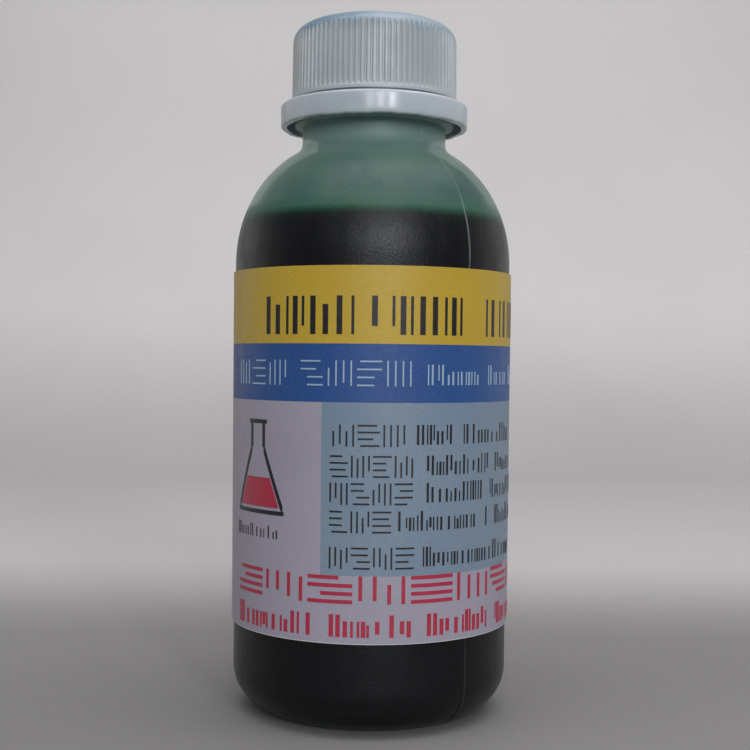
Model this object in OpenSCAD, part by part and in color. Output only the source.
// Dropper bottle: a round squeeze bottle of 100 ml with a press-in dropper plug, a finely
// ribbed screw cap, a tamper-evident band and a wrap-round label.
// Millimetres, +Z up. The origin is the centre of the base, on the surface the bottle stands on.

/* [Bottle body] */
// Outside radius of the straight body
body_r = 22; // [21.5:0.1:22.5]
// Thickness of the blown wall
wall = 1.15; // [0.9:0.05:1.3]
// Radius of the rounded heel
heel_r = 7; // [6:0.5:8]
// Inner radius of the ring that the bottle stands on
foot_in_r = 11.5; // [9:0.5:13]
// Height of the push-up in the middle of the base
push_up = 1.6; // [1:0.1:2.5]
// Height at which the shoulder begins
shoulder_z = 71.1; // [70:0.1:72]
// Radius of the circle about which the shoulder's elliptical quarter turns
shoulder_centre_r = 4.7; // [4:0.1:5.5]
// Full rise of the shoulder's elliptical quarter
shoulder_rise = 19.68; // [19:0.02:19.8]

/* [Neck finish] */
// Outside radius of the plain neck and of the groove between its two beads
neck_r = 11.5; // [11.3:0.1:11.6]
// Radius of the bore
bore_r = 9; // [8.8:0.1:9.2]
// Height of the rim
rim_z = 104; // [103.8:0.1:104.2]
// Radius of the bead that stops the band
stop_bead_r = 12.8; // [12.5:0.1:13]
// Radius of the bead that keeps the band on
keep_bead_r = 12.6; // [12.4:0.1:12.7]
// Radius of the neck at the root of its thread
thread_root_r = 10.85; // [10.7:0.05:10.9]
// Radius at the crest of the neck's thread
thread_crest_r = 11.85; // [11.6:0.05:11.85]
// Rise of the thread in one turn, which is 8 turns to the inch
lead = 3.175; // [3:0.025:3.2]
// Turns of thread on the neck and in the cap
thread_turns = 1.25; // [1:0.125:1.25]

/* [Screw cap] */
// Outside radius of the plain strip at the foot of the cap
cap_r = 13.26; // [13.24:0.01:13.3]
// Outside radius of the cap over its ribs
rib_r = 13.18; // [13.1:0.01:13.2]
// Inside radius of the cap
cap_bore_r = 12.05; // [12:0.05:12.1]
// Height of the cap's top
top_z = 109.2; // [109:0.1:109.5]
// Height of the cap's lower edge
cap_low_z = 96.65; // [96.6:0.05:96.7]
// Number of ribs
rib_count = 90; // [60:6:96]
// Depth of the ribs
rib_depth = 0.3; // [0.2:0.05:0.4]
// Radius of the rounded top edge
cap_edge_r = 2.9; // [2:0.1:3]

/* [Tamper band] */
// Outside radius of the band
band_r = 15; // [14.8:0.1:15.2]
// Height of the band's lower edge
band_low_z = 92.8; // [92.6:0.1:92.9]
// Height of the band's top edge
band_top_z = 96.5; // [96.4:0.05:96.55]
// Number of retaining teeth inside the band, and of bridges that held it to the cap
tooth_count = 12; // [6:1:16]

/* [Dropper plug] */
// Radius of the flange on the rim
flange_r = 10.2; // [9.8:0.1:10.4]
// Thickness of the flange
flange_t = 0.9; // [0.7:0.1:1]
// Radius over the plug's sealing rings, which the bore squeezes
seal_r = 9.04; // [9.02:0.01:9.06]
// Radius inside the plug's cup
cup_r = 7.8; // [7.5:0.1:8]
// Radius of the nozzle at its tip
nozzle_tip_r = 1.9; // [1.7:0.1:2.1]
// Radius of the orifice that forms the drops
orifice_r = 0.5; // [0.3:0.1:0.7]

/* [Label and liquid] */
// Height of the label's lower edge
label_low_z = 14.35; // [12:0.05:16]
// Height of the label's upper edge
label_top_z = 69.6; // [67:0.1:70]
// Thickness of the label with its adhesive
label_t = 0.3; // [0.2:0.05:0.4]
// Angle of the label's left edge, from the front, positive to the right
label_left = -96; // [-100:1:-92]
// Angle that the label wraps round the body
label_wrap = 297; // [288:1:306]
// Height of the liquid's surface
liquid_z = 78.3; // [72:0.1:80]

/* [Hidden] */
$fn = 96;
front = -90;        // the front of the bottle faces -Y
foot_out_r = body_r - heel_r;
curve_steps = 10;   // straight pieces in each curve of an outline

// Heights of the neck finish, all measured down from the rim
stop_bead_z = rim_z - 11;
stop_bead_t = 1.4;
keep_bead_z = rim_z - 8.2;
keep_bead_t = 0.4;
thread_zone_z = rim_z - 6.8;
thread_z = rim_z - 5.6;
edge = 0.3;         // small break on the edges of beads and rims

// The thread ridges. The cap's ridge lies half a turn round from the neck's, in its groove.
ridge_steps = 32;   // straight pieces in one turn
ridge_sink = 0.2;   // how far a ridge's root is buried in its wall
ridge_fade = 0.08;  // share of the ridge over which each end fades out
neck_ridge_root = 0.8;
neck_ridge_crest = 0.35;
cap_ridge_r = 11.05;
cap_ridge_root = 0.62;
cap_ridge_crest = 0.3;

// Inside of the cap: the liner lies under the top plate, above a small keeping bead
top_t = 1.2;
liner_t = 0.95;
liner_r = 11.8;
liner_z = top_z - top_t - liner_t - 0.05;
liner_bead_r = 11.6;
plain_strip = 0.95; // height of the smooth strip below the ribs
mouth_r = 12.5;     // the cap's mouth widens to clear the neck's upper bead
mouth_h = 0.45;
valley_r = rib_r - rib_depth;

// Inside of the band
band_bore_r = band_r - 1.1;
band_ledge_r = keep_bead_r + 0.35;
band_edge = 0.6;    // height of the rounding on the band's upper edge
tooth_r = neck_r + 0.4;
tooth_t = 0.7;
tooth_gap = 0.35;
bridge_r = 12.97;
bridge_t = 0.28;
bridge_w = 0.5;
bridge_h = 0.05;    // how far each broken bridge stands into the gap

// The plug, measured from the rim. Its nozzle stands in a hole in the floor of its cup.
plug_low_z = rim_z - 8;
plug_floor_z = rim_z - 6.4;
plug_floor_t = 1;
plug_wall_r = bore_r - 0.02;
ring_t = 0.8;       // height of each sealing ring
nozzle_hole_r = 3.1;
nozzle_spigot_r = 3.05;
nozzle_collar_r = 3.8;
nozzle_collar_t = 0.5;
nozzle_root_r = 2.9;
nozzle_bore_r = 1.5;
nozzle_top_z = liner_z - 0.15;
orifice_len = 1.6;

// Points along an elliptical arc about (cx, cz)
function arc(cx, cz, rx, rz, from, to, n = curve_steps) =
    [for (i = [0:n]) let (a = from + (to - from) * i / n) [cx + rx * cos(a), cz + rz * sin(a)]];

// Points along a curve from p to q that leaves towards c and arrives from c
function blend(p, c, q, n = 5) =
    [for (i = [1:n]) let (t = i / n) (1 - t) * (1 - t) * p + 2 * t * (1 - t) * c + t * t * q];

// Shoulder outline, `inset` inside the outer face, that turns up into a neck of radius r
function shoulder(inset, r, reach) =
    let (
        rx = body_r - shoulder_centre_r - inset,
        rz = shoulder_rise - inset,
        a = acos((r + reach - shoulder_centre_r) / rx),
        p = [r + reach, shoulder_z + rz * sin(a)],
        c = [r, p[1] + reach * rz * cos(a) / (rx * sin(a))]
    )
    concat(
        arc(shoulder_centre_r, shoulder_z, rx, rz, 0, a, 2 * curve_steps),
        blend(p, c, c + [0, reach])
    );

// Base outline from the axis to the straight body, `inset` inside the outer face
function base(inset) =
    concat(
        [for (i = [0:curve_steps]) let (x = i / curve_steps)
            [foot_in_r * x, inset + push_up * (1 - x * x)]],
        arc(foot_out_r, heel_r, heel_r - inset, heel_r - inset, -90, 0)
    );

// Outside of the bottle up to the plain neck
function outside() = concat(base(0), shoulder(0, neck_r, 1.2));

// Inside of the bottle up to the bore
function inside() = concat(base(wall), shoulder(wall, bore_r, 0.8));

// Outside of the neck finish, from the plain neck up to the rim
function finish() = [
    [neck_r, stop_bead_z],
    [stop_bead_r - edge, stop_bead_z],
    [stop_bead_r, stop_bead_z + edge],
    [stop_bead_r, stop_bead_z + stop_bead_t - edge],
    [stop_bead_r - edge, stop_bead_z + stop_bead_t],
    [neck_r, stop_bead_z + stop_bead_t],
    [neck_r, keep_bead_z],
    [keep_bead_r, keep_bead_z],
    [keep_bead_r, keep_bead_z + keep_bead_t],
    [thread_root_r, thread_zone_z],
    [thread_root_r, rim_z - edge],
    [thread_root_r - edge, rim_z],
    [0, rim_z]
];

// Space inside the bottle
module cavity() {
    rotate_extrude()
        polygon(concat(inside(), [[bore_r, rim_z + 1], [0, rim_z + 1]]));
}

// Thread ridge, `reach` out from radius `root` (inwards when negative), from angle `start`
module thread_ridge(root, reach, root_half, crest_half, z, start) {
    rings = ridge_steps * thread_turns;
    side = sign(reach);
    points = [
        for (i = [0:rings])
            let (
                s = i / rings,
                a = start + 360 * thread_turns * s,
                up = z + lead * thread_turns * s,
                share = min(1, s / ridge_fade, (1 - s) / ridge_fade),
                crest = root - side * 0.05 + (reach + side * 0.05) * share
            )
            for (p = [
                [root - side * ridge_sink, -root_half],
                [crest, -crest_half],
                [crest, crest_half],
                [root - side * ridge_sink, root_half]
            ])
                [p[0] * cos(a), p[0] * sin(a), up + p[1]]
    ];
    sides = [
        for (i = [0:rings - 1], k = [0:3])
            let (a = 4 * i + k, b = 4 * i + (k + 1) % 4)
            for (t = [[a, b, b + 4], [a, b + 4, a + 4]])
                side > 0 ? t : [t[2], t[1], t[0]]
    ];
    first = side > 0 ? [3, 2, 1, 0] : [0, 1, 2, 3];
    last = [for (k = [3:-1:0]) 4 * rings + first[k]];
    polyhedron(points, concat([first, last], sides), 4);
}

module bottle_body() {
    color([0.62, 0.74, 0.68])
        union() {
            difference() {
                rotate_extrude()
                    polygon(concat(outside(), finish()));
                cavity();
            }
            thread_ridge(thread_root_r, thread_crest_r - thread_root_r,
                neck_ridge_root, neck_ridge_crest, thread_z, 0);
        }
}

module indicator_liquid() {
    color([0.03, 0.12, 0.09])
        intersection() {
            cavity();
            cylinder(r = body_r, h = liquid_z);
        }
}

module label() {
    color([0.80, 0.72, 0.35])
        rotate([0, 0, front + label_left])
            rotate_extrude(angle = label_wrap)
                translate([body_r, label_low_z])
                    square([label_t, label_top_z - label_low_z]);
}

// Plug: a flange, a skirt with sealing rings, and a recessed cup with a hole in its floor
module dropper_plug() {
    color([0.93, 0.94, 0.95])
        rotate_extrude()
            difference() {
                union() {
                    translate([0, plug_low_z])
                        square([plug_wall_r, rim_z - plug_low_z]);
                    translate([0, rim_z])
                        square([flange_r, flange_t]);
                    for (z = [rim_z - 2.4, rim_z - 5])
                        translate([0, z])
                            square([seal_r, ring_t]);
                }
                translate([0, plug_low_z - 1])
                    square([cup_r, plug_floor_z - plug_low_z + 1]);
                translate([0, plug_floor_z + plug_floor_t])
                    square([cup_r, rim_z]);
                square([nozzle_hole_r, rim_z]);
            }
}

// Nozzle: a tapered tube with a fine orifice, whose collar rests on the floor of the plug's cup
module dropper_nozzle() {
    seat_z = plug_floor_z + plug_floor_t;
    color([0.86, 0.89, 0.92])
        rotate_extrude()
            difference() {
                polygon([
                    [0, plug_floor_z],
                    [nozzle_spigot_r, plug_floor_z],
                    [nozzle_spigot_r, seat_z],
                    [nozzle_collar_r, seat_z],
                    [nozzle_collar_r, seat_z + nozzle_collar_t],
                    [nozzle_root_r, seat_z + nozzle_collar_t],
                    [nozzle_tip_r + edge, nozzle_top_z - 1],
                    [nozzle_tip_r, nozzle_top_z - edge],
                    [nozzle_tip_r - edge, nozzle_top_z],
                    [0, nozzle_top_z]
                ]);
                square([nozzle_bore_r, nozzle_top_z - orifice_len]);
                square([orifice_r, nozzle_top_z + 1]);
            }
}

module cap_liner() {
    color([0.90, 0.92, 0.94])
        translate([0, 0, liner_z])
            cylinder(r = liner_r, h = liner_t);
}

// Outline of the ribbed wall: a crest and a valley for each rib
function ribbed_ring() = [
    for (i = [0:rib_count - 1], p = [[0, rib_r], [0.42, rib_r], [0.58, valley_r], [0.84, valley_r]])
        let (a = 360 * (i + p[0]) / rib_count)
        p[1] * [cos(a), sin(a)]
];

// Cap: a ribbed wall with a rounded top edge, a plain strip at its foot, an inner thread, a bead
// that keeps the liner, and the stubs of its bridges to the band
module screw_cap() {
    ribs_low_z = cap_low_z + plain_strip;
    cap_inside_z = top_z - top_t;
    color([0.66, 0.72, 0.78])
        union() {
            difference() {
                union() {
                    intersection() {
                        translate([0, 0, ribs_low_z])
                            linear_extrude(top_z)
                                polygon(ribbed_ring());
                        rotate_extrude()
                            polygon(concat(
                                [[0, ribs_low_z - 1], [cap_r, ribs_low_z - 1]],
                                arc(rib_r + 0.03 - cap_edge_r, top_z - cap_edge_r,
                                    cap_edge_r, cap_edge_r, 0, 90, 8),
                                [[0, top_z]]
                            ));
                    }
                    translate([0, 0, cap_low_z])
                        cylinder(r = cap_r, h = plain_strip);
                }
                rotate_extrude()
                    polygon([
                        [0, cap_low_z - 1],
                        [mouth_r, cap_low_z - 1],
                        [mouth_r, cap_low_z],
                        [cap_bore_r, cap_low_z + mouth_h],
                        [cap_bore_r, cap_inside_z],
                        [0, cap_inside_z]
                    ]);
            }
            translate([0, 0, liner_z - 0.8])
                rotate_extrude()
                    polygon([[cap_bore_r + 0.2, -0.3], [liner_bead_r, 0],
                        [liner_bead_r, 0.2], [cap_bore_r + 0.2, 0.5]]);
            thread_ridge(cap_bore_r, cap_ridge_r - cap_bore_r,
                cap_ridge_root, cap_ridge_crest, thread_z, -180);
            translate([0, 0, cap_low_z - bridge_h])
                bridge_stubs();
        }
}

// Band: a ring with a narrow ledge inside its upper edge. Its inner teeth sit loose between the
// neck's two beads, and the stubs of the bridges that held it to the cap stand on its top.
module tamper_band() {
    color([0.80, 0.84, 0.86])
        union() {
            rotate_extrude()
                polygon(concat(
                    [
                        [band_bore_r, band_low_z + edge],
                        [band_bore_r + edge, band_low_z],
                        [band_r - edge, band_low_z],
                        [band_r, band_low_z + edge],
                        [band_r, band_top_z - band_edge]
                    ],
                    blend([band_r, band_top_z - band_edge], [band_r, band_top_z],
                        [band_r - band_edge, band_top_z]),
                    [
                        [band_ledge_r, band_top_z],
                        [band_ledge_r, keep_bead_z],
                        [band_bore_r, keep_bead_z - 0.8]
                    ]
                ));
            for (i = [0:tooth_count - 1])
                rotate([0, 0, 360 * i / tooth_count])
                    rotate_extrude(angle = 240 / tooth_count)
                        translate([tooth_r, stop_bead_z + stop_bead_t + tooth_gap])
                            square([band_bore_r - tooth_r + 0.2, tooth_t]);
            translate([0, 0, band_top_z - edge])
                bridge_stubs();
        }
}

// Broken bridges: short stubs that leave a gap between the cap and the band
module bridge_stubs() {
    for (i = [0:tooth_count - 1])
        rotate([0, 0, 360 * (i + 0.5) / tooth_count])
            translate([bridge_r, -bridge_w / 2, 0])
                cube([bridge_t, bridge_w, edge + bridge_h]);
}

bottle_body();
dropper_plug();
dropper_nozzle();
cap_liner();
screw_cap();
tamper_band();
label();
indicator_liquid();
